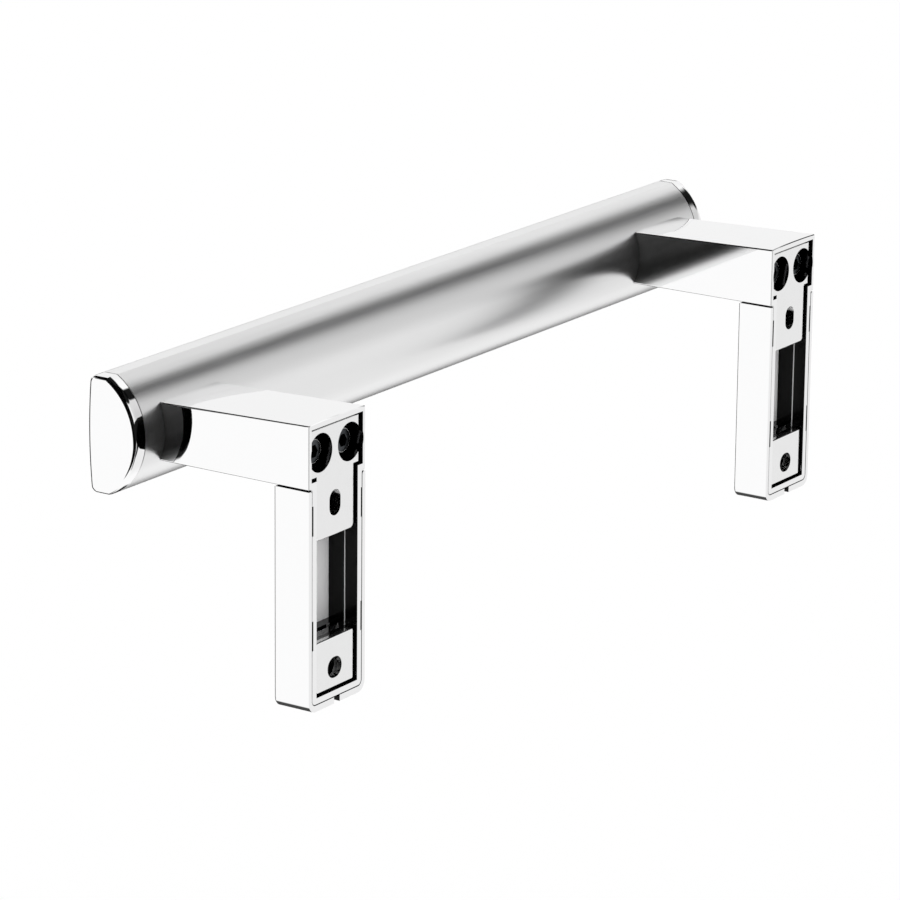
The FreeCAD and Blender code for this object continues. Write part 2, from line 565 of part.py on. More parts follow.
def round_edges(body, feature, test, radius):
    """Round the edges of a feature that pass a test."""
    fillet = body.newObject("PartDesign::Fillet", f"{body.Name}_fillet")
    fillet.Base = (feature, edges_like(feature, test))
    fillet.Radius = value(radius)
    bind(fillet, "Radius", radius)
    doc.recompute()
    return fillet


def break_edges(body, feature, test, size):
    """Chamfer the edges of a feature that pass a test."""
    chamfer = body.newObject("PartDesign::Chamfer", f"{body.Name}_chamfer")
    chamfer.Base = (feature, edges_like(feature, test))
    chamfer.Size = value(size)
    bind(chamfer, "Size", size)
    doc.recompute()
    return chamfer


NEAR = 0.01


def at_depth(edge, depth):
    """Tell whether an edge lies wholly at one depth in front of the wall plane."""
    box = edge.BoundBox
    return abs(box.YMin + depth) < NEAR and abs(box.YMax + depth) < NEAR


def at_station(edge, station):
    """Tell whether an edge lies wholly at one station along the rail."""
    box = edge.BoundBox
    return abs(box.XMin - station) < NEAR and abs(box.XMax - station) < NEAR


def runs_along_at(edge, across, level):
    """Tell whether an edge runs forward at one distance from the post's middle and at one level."""
    box = edge.BoundBox
    beside = abs(abs(box.Center.x) - across) < NEAR and box.XLength < NEAR
    return beside and abs(box.Center.z - level) < NEAR and box.ZLength < NEAR


def stands_at(edge, across, depth):
    """Tell whether an upright edge lies at one distance from the post's middle and at one depth."""
    box = edge.BoundBox
    upright = box.ZLength > max(box.XLength, box.YLength)
    return upright and at_depth(edge, depth) and abs(abs(box.Center.x) - across) < NEAR


def runs_forward(edge):
    """Tell whether an edge runs from the wall side to the front."""
    box = edge.BoundBox
    return box.YLength > max(box.XLength, box.ZLength)


# Sub-parts

def make_rail(label):
    """Hollow D-shaped rail with four holes through its back for the rail screws."""
    body = new_body(label)
    outline = new_sketch(body, "YZ_Plane")
    draw_rail_section(outline, "rail_back_radius", "rail_flat", "rail_front_radius", "rail_corner")
    bar = pad(body, outline, "rail_length", symmetric=True)
    end = value("rail_half")
    break_edges(body, bar, lambda edge: at_station(edge, end) or at_station(edge, -end), "rail_end_break")
    hollow = new_sketch(body, "YZ_Plane")
    draw_rail_section(hollow, "bore_back_radius", "bore_flat", "bore_front_radius", "bore_corner")
    pocket(body, hollow, symmetric=True)
    holes = new_sketch(body, "XZ_Plane")
    draw_circle_pair(holes, "rail_hole_inner", "screw_over_rail", "shank_hole_radius")
    draw_circle_pair(holes, "rail_hole_outer", "screw_over_rail", "shank_hole_radius")
    pocket(body, holes, "rail_hole_reach")
    bind(body, "Placement.Base.z", "rail_middle")
    return body


def stand_at_post(body, side):
    """Put a body modelled about the post's middle at the right or left post."""
    body.setExpression("Placement.Base.x", ("" if side > 0 else "-") + path("post_middle"))


def face_outwards(body, side, station):
    """Put a body modelled for the right end at the right or left end of the rail."""
    turn = 0.0 if side > 0 else HALF_TURN
    body.Placement = FreeCAD.Placement(VECTOR(), FreeCAD.Rotation(SIDE_AXIS, turn))
    body.setExpression("Placement.Base.x", ("" if side > 0 else "-") + path(station))
    bind(body, "Placement.Base.z", "rail_middle")


def make_end_cap(label, side):
    """Solid end cap that follows the rail's section, bevelled to its face, with a pin for its plug."""
    body = new_body(label)
    section = new_sketch(body, "YZ_Plane")
    draw_rail_section(section, "rail_back_radius", "rail_flat", "rail_front_radius", "rail_corner")
    blank = pad(body, section, "cap_length")
    blank = break_edges(body, blank, lambda edge: at_station(edge, 0), "rail_end_break")
    side_end, tip = value("cap_side"), value("cap_length")
    bevel = break_edges(body, blank, lambda edge: at_station(edge, tip), "cap_bevel")
    eased = break_edges(body, bevel, lambda edge: at_station(edge, tip), "cap_bevel_edge")
    break_edges(body, eased, lambda edge: at_station(edge, side_end), "cap_bevel_edge")
    pin = new_sketch(body, "YZ_Plane")
    draw_circle(pin, "pin_centre", None, "cap_pin_radius")
    pad(body, pin, "cap_pin_length", backwards=True)
    face_outwards(body, side, "rail_half")
    return body


def make_cap_plug(label, side):
    """Plastic plug that grips the inside of the rail and takes the cap's pin in its boss."""
    body = new_body(label)
    skin = new_sketch(body, "YZ_Plane")
    draw_rail_section(skin, "plug_back_radius", "plug_flat", "plug_front_radius", "plug_corner")
    pad(body, skin, "plug_length", backwards=True)
    hollow = new_sketch(body, "YZ_Plane", "plug_mouth")
    draw_rail_section(hollow, "hollow_back_radius", "hollow_flat", "hollow_front_radius", "hollow_corner")
    pocket(body, hollow, "plug_hollow")
    boss = new_sketch(body, "YZ_Plane")
    draw_circle(boss, "pin_centre", None, "boss_radius")
    pad(body, boss, "boss_length", backwards=True)
    bore = new_sketch(body, "YZ_Plane")
    draw_circle(bore, "pin_centre", None, "boss_bore_radius")
    pocket(body, bore, along_normal=False)
    face_outwards(body, side, "rail_half")
    return body


def cut_screw_holes(body):
    """Cut the counterbore and the clearance hole of both rail screws."""
    for place in SCREW_PLACES:
        bore = new_sketch(body, "XZ_Plane")
        draw_circle(bore, place, "screw_level", "bore_radius")
        pocket(body, bore, "bore_floor")
        shank = new_sketch(body, "XZ_Plane")
        draw_circle(shank, place, "screw_level", "shank_hole_radius")
        pocket(body, shank)


def make_post(label, side):
    """Casting of arm and leg frame, open towards the wall for the two anchors."""
    body = new_body(label)
    at_wall = new_sketch(body, "XZ_Plane")
    draw_arm_section(at_wall, "arm_shoulder", "arm_top")
    at_rail = new_sketch(body, "XZ_Plane", "arm_reach")
    draw_arm_section(at_rail, "arm_end_shoulder", "arm_end_top")
    arm = body.newObject("PartDesign::AdditiveLoft", f"{label}_arm")
    arm.Profile = at_wall
    arm.Sections = [at_rail]
    arm.Ruled = True
    doc.recompute()
    round_edges(body, arm, runs_forward, "arm_edge")
    frame = new_sketch(body, "XZ_Plane")
    draw_tub(frame, "frame_half", "frame_bottom", "frame_top", "frame_corner")
    block = pad(body, frame, "frame_depth")
    side_x, root_z = value("frame_half"), value("underside")
    blank = round_edges(body, block, lambda edge: runs_along_at(edge, side_x, root_z), "frame_root")
    break_edges(body, blank, lambda edge: at_depth(edge, 0), "arm_mouth_edge")
    saddle = new_sketch(body, "YZ_Plane")
    draw_circle(saddle, "rail_back_centre", "rail_middle", "saddle_radius")
    pocket(body, saddle, symmetric=True)

    window = new_sketch(body, "XZ_Plane")
    draw_rectangle(window, "window_half", "window_bottom", "underside")
    pocket(body, window, "leg_room")
    front_window = new_sketch(body, "XZ_Plane", "frame_step")
    draw_rectangle(front_window, "window_front_half", "window_bottom", "underside")
    stepped = pocket(body, front_window, "leg_room")
    step_x, step = value("window_half"), value("frame_step")
    round_edges(body, stepped, lambda edge: stands_at(edge, step_x, step), "frame_step_edge")

    recess = new_sketch(body, "XZ_Plane")
    draw_rectangle(recess, "recess_half", "recess_bottom", "recess_top")
    pocket(body, recess, "recess_floor")
    tongue_room = new_sketch(body, "XZ_Plane")
    draw_rectangle(tongue_room, "window_half", "tongue_room_bottom", "tongue_room_top")
    pocket(body, tongue_room, "tongue_room")
    cut_screw_holes(body)

    ledge = new_sketch(body, "XZ_Plane", "ledge_start")
    draw_rectangle(ledge, "web_half", "web_bottom", "foot_top")
    pad(body, ledge, "ledge_thickness")
    rib = new_sketch(body, "XZ_Plane", "rib_start")
    draw_rectangle(rib, "web_half", "rib_bottom", "rib_top")
    pad(body, rib, "rib_depth")
    relief = new_sketch(body, "XZ_Plane")
    draw_circle(relief, None, "hole_level", "ledge_hole_radius")
    pocket(body, relief, "rib_start")
    for level in SNAP_LEVELS:
        catch = new_sketch(body, "XZ_Plane")
        draw_rectangle_pair(catch, "snap_floor", "snap_mouth", f"snap_bottom_{level}", f"snap_top_{level}")
        pocket(body, catch, "snap_depth")
    stand_at_post(body, side)
    return body


def make_leg_cover(label, side):
    """Clip-on shell round the leg frame: front, sides and bottom, open to the wall and to the arm."""
    body = new_body(label)
    outline = new_sketch(body, "XZ_Plane")
    draw_tub(outline, "post_half", "cover_bottom", "cover_top", "cover_corner")
    block = pad(body, outline, "leg_depth")
    front = value("leg_depth")
    round_edges(body, block, lambda edge: at_depth(edge, front), "cover_edge")
    hollow = new_sketch(body, "XZ_Plane")
    draw_tub(hollow, "cover_inner_half", "cover_inner_bottom", "cover_inner_top", "cover_inner_corner")
    shell = pocket(body, hollow, "cover_inner_depth")
    lip_x, lip_z = value("cover_inner_half"), value("cover_top")
    round_edges(body, shell, lambda edge: runs_along_at(edge, lip_x, lip_z), "cover_lip")
    notch = new_sketch(body, "XZ_Plane")
    draw_rectangle(notch, "notch_half", "notch_bottom", "notch_top")
    pocket(body, notch, "notch_depth")
    for level in SNAP_LEVELS:
        rib = new_sketch(body, "XZ_Plane", "snap_rib_start")
        bottom, top = f"snap_rib_bottom_{level}", f"snap_rib_top_{level}"
        draw_rectangle_pair(rib, "snap_rib_floor", "snap_rib_root", bottom, top)
        pad(body, rib, "snap_rib_length")
    stand_at_post(body, side)
    return body


def make_upper_anchor(label, side):
    """T-shaped anchor: a block with two counterbores in the arm, and a slotted tongue below it."""
    body = new_body(label)
    face = new_sketch(body, "XZ_Plane", "anchor_recess")
    draw_rectangle(face, "block_half", "block_bottom", "block_top")
    pad(body, face, "anchor_depth")
    strip = new_sketch(body, "XZ_Plane", "anchor_recess")
    draw_tub(strip, "tongue_half", "tongue_bottom", "tongue_top", "tongue_corner")
    tee = pad(body, strip, "tongue_thickness")
    depth = value("anchor_recess")
    break_edges(body, tee, lambda edge: at_depth(edge, depth), "anchor_edge")
    cut_screw_holes(body)
    slot = new_sketch(body, "XZ_Plane")
    draw_upright_slot(slot, "slot_reach", "slot_radius")
    pocket(body, slot)
    stand_at_post(body, side)
    return body


def make_lower_anchor(label, side):
    """Small plate at the foot of the leg frame with the lower wall-screw hole."""
    body = new_body(label)
    face = new_sketch(body, "XZ_Plane", "anchor_recess")
    draw_rectangle(face, "tongue_half", "foot_bottom", "foot_top")
    plate = pad(body, face, "foot_thickness")
    plate = round_edges(body, plate, runs_forward, "foot_corner")
    depth = value("anchor_recess")
    break_edges(body, plate, lambda edge: at_depth(edge, depth), "anchor_edge")
    hole = new_sketch(body, "XZ_Plane")
    draw_level_slot(hole, "hole_level", "hole_reach", "hole_radius")
    pocket(body, hole)
    stand_at_post(body, side)
    return body


def make_thread_block(label, side):
    """Block inside the rail that the two screws of a post are threaded into."""
    body = new_body(label)
    outline = new_sketch(body, "YZ_Plane")
    draw_block_section(outline)
    pad(body, outline, "block_width", symmetric=True)
    threads = new_sketch(body, "XZ_Plane")
    draw_circle_pair(threads, "screw_half_pitch", "screw_over_rail", "thread_radius")
    pocket(body, threads)
    stand_at_post(body, side)
    bind(body, "Placement.Base.z", "rail_middle")
    return body


def make_solid(kind, name, **sizes):
    """Make a basic solid whose sizes are driven by named values."""
    solid = doc.addObject(kind, name)
    for prop, source in sizes.items():
        bind(solid, prop, source)
    return solid


def place_at_screw(thing, side, hand, depth):
    """Stand a turned piece on a rail screw's axis, its own Z axis pointing to the wall."""
    thing.Placement = FreeCAD.Placement(VECTOR(), FreeCAD.Rotation(VECTOR(1, 0, 0), -QUARTER_TURN))
    across = f"{side} * Places.post_middle + {hand} * Places.screw_half_pitch"
    thing.setExpression("Placement.Base.x", across)
    thing.setExpression("Placement.Base.y", f"-{path(depth)}")
    bind(thing, "Placement.Base.z", "screw_level")


def make_rail_screw(name, side, hand):
    """Socket-head screw, standing on the underside of its head."""
    head = make_solid("Part::Cylinder", f"{name}_head", Radius="head_radius", Height="head_height")
    shank = make_solid("Part::Cylinder", f"{name}_shank", Radius="screw_radius", Height="shank_straight")
    shank.setExpression("Placement.Base.z", f"-{path('shank_straight')}")
    narrow = {"Radius1": "tip_radius", "Radius2": "screw_radius", "Height": "screw_tip"}
    tip = make_solid("Part::Cone", f"{name}_tip", **narrow)
    tip.setExpression("Placement.Base.z", f"-{path('screw_length')}")
    drive = make_solid("Part::Prism", f"{name}_drive", Circumradius="drive_radius", Height="drive_depth")
    drive.Polygon = DRIVE_SIDES
    drive.setExpression("Placement.Base.z", f"{path('head_height')} - {path('drive_depth')}")
    blank = doc.addObject("Part::MultiFuse", f"{name}_blank")
    blank.Shapes = [head, shank, tip]
    screw = doc.addObject("Part::Cut", name)
    screw.Base, screw.Tool = blank, drive
    place_at_screw(screw, side, hand, "head_seat")
    return screw


def make_washer(name, side, hand):
    """Plain washer on the floor of its counterbore."""
    disc = make_solid("Part::Cylinder", f"{name}_disc", Radius="washer_radius", Height="washer_thickness")
    eye = make_solid("Part::Cylinder", f"{name}_eye", Radius="shank_hole_radius", Height="washer_thickness")
    washer = doc.addObject("Part::Cut", name)
    washer.Base, washer.Tool = disc, eye
    place_at_screw(washer, side, hand, "bore_floor")
    return washer


def make_set(label, make_one):
    """Make one piece of a kind at each rail screw and gather them in one group."""
    group = doc.addObject("Part::Compound", label)
    group.Label = label
    places = [(side, hand) for side in (1, -1) for hand in (1, -1)]
    group.Links = [make_one(f"{label}_{number}", *place) for number, place in enumerate(places, start=1)]
    return group


def check_and_write(parts):
    """Stop on any failed object, then write each sub-part to its own file."""
    doc.recompute()
    for thing in doc.Objects:
        if {"Invalid", "Error"} & set(thing.State):
            raise RuntimeError(f"{thing.Name} failed: {thing.State}")
    os.makedirs("parts", exist_ok=True)
    for part in parts:
        shape = part.Shape
        if shape.isNull() or not shape.isValid() or not shape.Solids:
            raise RuntimeError(f"{part.Label} has no valid solid")
        shape.exportStep(f"parts/{part.Label}.step")
        print(f"{part.Label}: {len(shape.Solids)} solid(s), {shape.Volume / 1000:.2f} cm3")


parts = [make_rail("grip_rail")]
for hand_name, side in (("right", 1), ("left", -1)):
    parts += [
        make_end_cap(f"end_cap_{hand_name}", side),
        make_cap_plug(f"cap_plug_{hand_name}", side),
        make_post(f"post_{hand_name}", side),
        make_leg_cover(f"leg_cover_{hand_name}", side),
        make_upper_anchor(f"upper_anchor_{hand_name}", side),
        make_lower_anchor(f"lower_anchor_{hand_name}", side),
        make_thread_block(f"thread_block_{hand_name}", side),
    ]
parts.append(make_set("rail_screws", make_rail_screw))
parts.append(make_set("screw_washers", make_washer))
check_and_write(parts)
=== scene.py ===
import json
import math

import bpy
from mathutils import Matrix, Vector


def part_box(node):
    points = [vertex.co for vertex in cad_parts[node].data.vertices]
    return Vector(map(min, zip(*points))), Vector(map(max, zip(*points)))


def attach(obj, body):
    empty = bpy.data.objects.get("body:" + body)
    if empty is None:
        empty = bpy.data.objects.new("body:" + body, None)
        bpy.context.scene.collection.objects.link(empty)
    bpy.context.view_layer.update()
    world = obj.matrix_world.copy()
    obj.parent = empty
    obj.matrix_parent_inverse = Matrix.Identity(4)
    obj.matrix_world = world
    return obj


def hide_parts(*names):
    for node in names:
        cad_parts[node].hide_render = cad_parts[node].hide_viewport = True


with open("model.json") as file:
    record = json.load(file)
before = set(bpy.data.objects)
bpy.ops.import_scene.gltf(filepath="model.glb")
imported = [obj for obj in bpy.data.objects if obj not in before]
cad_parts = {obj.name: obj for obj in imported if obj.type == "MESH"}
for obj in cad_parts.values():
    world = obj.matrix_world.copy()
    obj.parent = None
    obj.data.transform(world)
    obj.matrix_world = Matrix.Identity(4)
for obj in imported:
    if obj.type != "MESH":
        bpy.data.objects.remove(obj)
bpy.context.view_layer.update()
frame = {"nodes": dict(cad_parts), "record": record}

MM = 0.001
nodes = frame["nodes"]


# Sizes of the rail and its caps that the frame's boxes don't tell, in metres
RAIL_BACK_SWELL = 11.8 * MM
RAIL_BULGE = 1.0 * MM
RAIL_EDGE = 2.6 * MM
RAIL_WALL = 2.2 * MM
END_BREAK = 0.2 * MM
CAP_SHOULDER_LENGTH = 2.8 * MM
CAP_SHOULDER_DEPTH = 0.15 * MM
CAP_RIM = 0.9 * MM
PIN_RADIUS = 3.0 * MM

# Sizes of the rail screws, in metres, how far down a head its painted rim highlight starts, and its
# knurl's form
HEAD_HEIGHT = 5.0 * MM
HEAD_ROUND = 0.5 * MM
HIGHLIGHT_START = 0.025 * MM
SHANK_RADIUS = 2.5 * MM
SHANK_TIP = 0.6 * MM
DRIVE_FLAT = 4.0 * MM
DRIVE_DEPTH = 3.0 * MM
DRIVE_BREAK = 0.15 * MM
DRIVE_SIDES = 6
KNURL_TEETH = 42
KNURL_DEPTH = 0.22 * MM
KNURL_WAVE = (0.0, 0.5, 1.0, 0.5)

# Sizes of the arms and legs by which their faces are told apart, in metres
LEG_DEPTH = 14.2 * MM
COVER_FRONT_WALL = 1.5 * MM
COVER_SIDE_WALL = 1.7 * MM
COVER_BOTTOM_WALL = 2.2 * MM
FRAME_STEP = 5.9 * MM
FRAME_STEP_EDGE = 1.0 * MM
MOUTH_EDGE = 0.3 * MM
RIM_SIDE = 1.5 * MM
ANCHOR_DEPTH = 14.0 * MM
TONGUE_SEAT = 4.6 * MM
SNAP_DEPTH = 4.0 * MM
SNAP_RIB_START = 2.4 * MM
LEDGE_REACH = 5.0 * MM
NOTCH_HALF = 1.65 * MM
BORE_RADIUS = 6.7 * MM

# How near the middle of a face lies to the place that it is told by, in metres
NEAR = 0.1 * MM
ROUGHLY = 0.5 * MM

# How much of a face's normal has to lie along an axis: nearly all, most, half, some or hardly any
SQUARE = 0.995
FLAT = 0.9
TURNED = 0.5
LEANING = 0.4
LEVEL = 0.1

# Fineness of the modelled surfaces
BACK_STEPS = 72
EDGE_STEPS = 10
FRONT_STEPS = 24
ROUND_STEPS = 12
RIM_STEPS = 5
SHARP_ANGLE = math.radians(20)

# Colours, stretches of the noise, and the range of its values that is used
WHITE = (1.0, 1.0, 1.0, 1.0)
# Near-black painted where shade falls: in recesses, slots, seams and behind the upper anchors
PAINTED_SHADE_BLACK = (0.015, 0.015, 0.015)
PALE = (0.93, 0.93, 0.93)
EVEN = (1.0, 1.0, 1.0)
BRUSHED = (0.03, 1.0, 1.0)
NOISE_RANGE = (0.3, 0.7)

# Painted shade in the recesses of polished metal: its reach, the open shares where it ends and begins
RECESS_REACH = 12.0 * MM
RECESS_SHARES = (0.35, 0.6)
RECESS_SAMPLES = 8

# Height over which painted shade darkens the inner face of a leg cover behind the upper anchor
SHADE_HEIGHT = 1.0 * MM

# Fields of less light that polished metal mirrors:
# direction, angle of the full field, angle where it ends (degrees), light left in it
FIELDS = (
    ((0.60, 0.80, 0.10), 56.0, 61.0, 0.01),
    ((0.80, 0.45, -0.40), 28.0, 34.0, 0.01),
    ((0.95, -0.05, 0.30), 33.0, 37.0, 0.01),
    ((0.10, 0.65, 0.75), 30.0, 34.0, 0.01),
    ((-0.57, 0.475, 0.68), 12.0, 15.0, 0.01),
    ((-0.76, 0.37, 0.53), 5.5, 8.0, 0.01),
    ((-0.90, 0.25, 0.36), 9.0, 14.0, 0.01),
    ((0.25, 0.10, 0.96), 56.0, 60.0, 0.01),
    ((0.10, -0.50, 0.86), 36.0, 40.0, 0.01),
    ((-0.20, -0.54, -0.82), 22.0, 34.0, 0.06),
    ((0.15, -0.95, -0.28), 28.0, 34.0, 0.01),
    ((-0.797, -0.536, -0.279), 19.0, 25.0, 0.02),
    ((-0.797, 0.536, -0.279), 25.0, 40.0, 0.86),
    ((-0.77, 0.56, 0.30), 9.0, 22.0, 0.72),
    ((-0.797, -0.20, 0.57), 10.0, 20.0, 0.92),
    ((-0.797, -0.536, 0.279), 12.0, 20.0, 0.92),
)

# Camera at the photograph's angle
CAMERA_PLACE = (1.35033908, 0.85170184, 0.44626427)
CAMERA_RIGHT = (-0.56012954, 0.82835333, 0.00925498)
CAMERA_UP = (-0.22627641, -0.1637354, 0.96020295)
LENS = 185.74
SENSOR = 36.0

# Floor, well below the fitting
FLOOR_LEVEL = -0.6
FLOOR_SIZE = 12.0


class Tree:
    """Short way to add and link the nodes of a material or a world."""

    def __init__(self, holder):
        holder.use_nodes = True
        self.tree = holder.node_tree
        self.tree.nodes.clear()

    def add(self, kind, **props):
        node = self.tree.nodes.new(kind)
        for name, value in props.items():
            setattr(node, name, value)
        return node

    def feed(self, target, value):
        """Link a socket to the target, or set the target to a constant."""
        if isinstance(value, bpy.types.NodeSocket):
            self.tree.links.new(value, target)
        else:
            target.default_value = value

    def end(self, kind, shader):
        """Link a shader to the output node of the tree."""
        self.feed(self.add(kind).inputs["Surface"], shader.outputs[0])

    def math(self, operation, *values):
        node = self.add("ShaderNodeMath", operation=operation)
        for socket, value in zip(node.inputs, values):
            self.feed(socket, value)
        return node.outputs[0]

    def ease(self, value, low, high, start=0.0, end=1.0):
        """Go smoothly from start to end while value goes from low to high."""
        node = self.add("ShaderNodeMapRange", interpolation_type="SMOOTHSTEP")
        limits = {"From Min": low, "From Max": high, "To Min": start, "To Max": end}
        self.feed(node.inputs["Value"], value)
        for name, number in limits.items():
            node.inputs[name].default_value = number
        return node.outputs["Result"]

    def noise(self, scale, low, high, stretch):
        """Noise over the piece, between two numbers."""
        mapping = self.add("ShaderNodeMapping")
        mapping.inputs["Scale"].default_value = stretch
        self.feed(mapping.inputs["Vector"], self.add("ShaderNodeTexCoord").outputs["Object"])
        noise = self.add("ShaderNodeTexNoise")
        noise.inputs["Scale"].default_value = scale
        self.feed(noise.inputs["Vector"], mapping.outputs[0])
        return self.ease(noise.outputs[0], *NOISE_RANGE, low, high)

    def mix(self, factor, first, second):
        """Blend two colours."""
        node = self.add("ShaderNodeMix", data_type="RGBA")
        self.feed(node.inputs["Factor"], factor)
        self.feed(node.inputs["A"], first)
        self.feed(node.inputs["B"], second)
        return node.outputs["Result"]


def light_past_field(t, ray, axis, full, end, left):
    """Light along a ray: what is left of it inside a field, and all of it outside."""
    along = t.add("ShaderNodeVectorMath", operation="DOT_PRODUCT")
    t.feed(along.inputs[0], ray.outputs[0])
    along.inputs[1].default_value = Vector(axis).normalized()
    inside = math.cos(math.radians(full))
    outside = math.cos(math.radians(end))
    return t.ease(along.outputs["Value"], outside, inside, 1.0, left)


def make_world():
    """White studio with fields of less light, which only glossy rays see."""
    world = bpy.data.worlds.new("studio")
    bpy.context.scene.world = world
    t = Tree(world)
    ray = t.add("ShaderNodeVectorMath", operation="NORMALIZE")
    t.feed(ray.inputs[0], t.add("ShaderNodeTexCoord").outputs["Generated"])
    light = 1.0
    for field in FIELDS:
        light = t.math("MULTIPLY", light, light_past_field(t, ray, *field))
    mirrored = t.add("ShaderNodeLightPath").outputs["Is Glossy Ray"]
    light = t.math("MAXIMUM", light, t.math("SUBTRACT", 1.0, mirrored))
    background = t.add("ShaderNodeBackground")
    background.inputs["Color"].default_value = WHITE
    t.feed(background.inputs["Strength"], light)
    t.end("ShaderNodeOutputWorld", background)


def make_camera():
    """Camera for a square picture."""
    data = bpy.data.cameras.new("camera")
    data.sensor_fit = "HORIZONTAL"
    data.sensor_width = SENSOR
    data.lens = LENS
    camera = bpy.data.objects.new("camera", data)
    bpy.context.scene.collection.objects.link(camera)
    right, up = Vector(CAMERA_RIGHT).normalized(), Vector(CAMERA_UP).normalized()
    turn = Matrix((right, up, right.cross(up))).transposed().to_4x4()
    camera.matrix_world = Matrix.Translation(CAMERA_PLACE) @ turn
    bpy.context.scene.camera = camera


def make_floor():
    """Plain white floor, in whose place polished metal mirrors the studio."""
    material = bpy.data.materials.new("floor")
    t = Tree(material)
    matt = t.add("ShaderNodeBsdfDiffuse")
    matt.inputs["Color"].default_value = WHITE
    clear = t.add("ShaderNodeBsdfTransparent")
    mix = t.add("ShaderNodeMixShader")
    t.feed(mix.inputs[0], t.add("ShaderNodeLightPath").outputs["Is Glossy Ray"])
    t.feed(mix.inputs[1], matt.outputs[0])
    t.feed(mix.inputs[2], clear.outputs[0])
    t.end("ShaderNodeOutputMaterial", mix)

    mesh = bpy.data.meshes.new("floor")
    signs = ((-1, -1), (1, -1), (1, 1), (-1, 1))
    corners = [(x * FLOOR_SIZE, y * FLOOR_SIZE, FLOOR_LEVEL) for x, y in signs]
    mesh.from_pydata(corners, [], [(0, 1, 2, 3)])
    mesh.materials.append(material)
    floor = bpy.data.objects.new("floor", mesh)
    bpy.context.scene.collection.objects.link(floor)


def painted_shade_in_recesses(t, colour):
    """The colour with painted shade, falling to dark where little of the surroundings is open to a
    place.
    """
    hidden = t.add("ShaderNodeAmbientOcclusion", samples=RECESS_SAMPLES)
    hidden.inputs["Distance"].default_value = RECESS_REACH
    return t.mix(t.ease(hidden.outputs["AO"], *RECESS_SHARES), (*PAINTED_SHADE_BLACK, 1), colour)


def painted_shade_behind_anchor(t, colour):
    """The colour with painted shade, falling to dark above the bottom of the upper anchors, which hide
    the wall there.
    """
    place = t.add("ShaderNodeSeparateXYZ")
    t.feed(place.inputs[0], t.add("ShaderNodeTexCoord").outputs["Object"])
    window_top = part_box("upper_anchor_right")[0].z
    return t.mix(t.ease(place.outputs["Z"], window_top, window_top + SHADE_HEIGHT), colour, (*PAINTED_SHADE_BLACK, 1))


def make_finish(name, colour, metallic, noise, blend=None):
    """A material whose roughness noise varies, and whose colour may be blended with painted shade."""
    material = bpy.data.materials.new(name)
    t = Tree(material)
    shader = t.add("ShaderNodeBsdfPrincipled")
    shader.inputs["Base Color"].default_value = (*colour, 1)
    shader.inputs["Metallic"].default_value = metallic
    t.feed(shader.inputs["Roughness"], t.noise(*noise))
    if blend:
        t.feed(shader.inputs["Base Color"], blend(t, (*colour, 1)))
    t.end("ShaderNodeOutputMaterial", shader)
    return material


def make_finishes():
    """Finishes by the record's slot names, and then the painted shade, highlights and reflections for
    single faces.

    Each has its colour, its share of metal, the noise of its roughness (scale, low, high,
    stretch) and, where shade is painted in, the function that blends it.
    """
    edge_noise = (500.0, 0.3, 0.5, EVEN)
    recipes = {
        # chrome and anchor_metal get painted shade in their recesses
        "chrome": ((0.97, 0.97, 0.972), 1.0, (60.0, 0.02, 0.045, EVEN), painted_shade_in_recesses),
        "anchor_metal": (PALE, 1.0, (300.0, 0.08, 0.16, EVEN), painted_shade_in_recesses),
        "satin_aluminium": (PALE, 1.0, (900.0, 0.285, 0.315, BRUSHED)),
        "steel": ((0.06, 0.065, 0.07), 1.0, (500.0, 0.2, 0.35, EVEN)),
        "black_plastic": ((0.03, 0.03, 0.03), 0.0, (700.0, 0.45, 0.6, EVEN)),
        # painted_shade_wall: near-black painted on chrome faces that lie in shade
        "painted_shade_wall": (PAINTED_SHADE_BLACK, 1.0, (200.0, 0.12, 0.2, EVEN)),
        # painted_bore_shade: dark grey painted on the counterbore walls for their shade
        "painted_bore_shade": ((0.12, 0.12, 0.125), 1.0, (300.0, 0.1, 0.15, EVEN)),
        # painted_light_wall: matt near-white painted in place of the bright reflection on the cover's
        # inner front wall, with painted shade above the anchor bottom
        "painted_light_wall": ((0.97, 0.97, 0.97), 0.0, (300.0, 0.5, 0.65, EVEN), painted_shade_behind_anchor),
        # painted_rim_highlight: grey painted on the screw head rims as their highlight
        "painted_rim_highlight": ((0.5, 0.5, 0.5), 0.0, edge_noise),
        # painted_step_highlight: pale matt painted on the frame's rounded step as its highlight
        "painted_step_highlight": ((0.9, 0.9, 0.9), 0.0, edge_noise),
        # painted_edge_light: mid grey painted on the mouth edges and anchor tops in place of the light
        # they mirror
        "painted_edge_light": ((0.55, 0.55, 0.55), 0.0, edge_noise),
    }
    return {name: make_finish(name, *recipe) for name, recipe in recipes.items()}


def dress_nodes():
    """Give each CAD node the finish that its record names."""
    for entry in frame["record"]["subparts"]:
        mesh = nodes[entry["node"]].data
        mesh.materials.clear()
        mesh.materials.append(finishes[entry["material_slot"]])


def finish_faces(mesh, finish, test):
    """Give a second finish to the faces of a mesh that pass a test on middle and normal."""
    mesh.materials.append(finishes[finish])
    index = len(mesh.materials) - 1
    for face in mesh.polygons:
        if test(face.center, face.normal):
            face.material_index = index


def screw_places():
    """Level of the rail screws, and how far the outer and the inner ones stand from the middle."""
    low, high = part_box("rail_screws")
    post_low, post_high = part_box("post_right")
    outer = high.x - (high.z - low.z) / 2
    inner = post_low.x + post_high.x - outer
    return (low.z + high.z) / 2, outer, inner


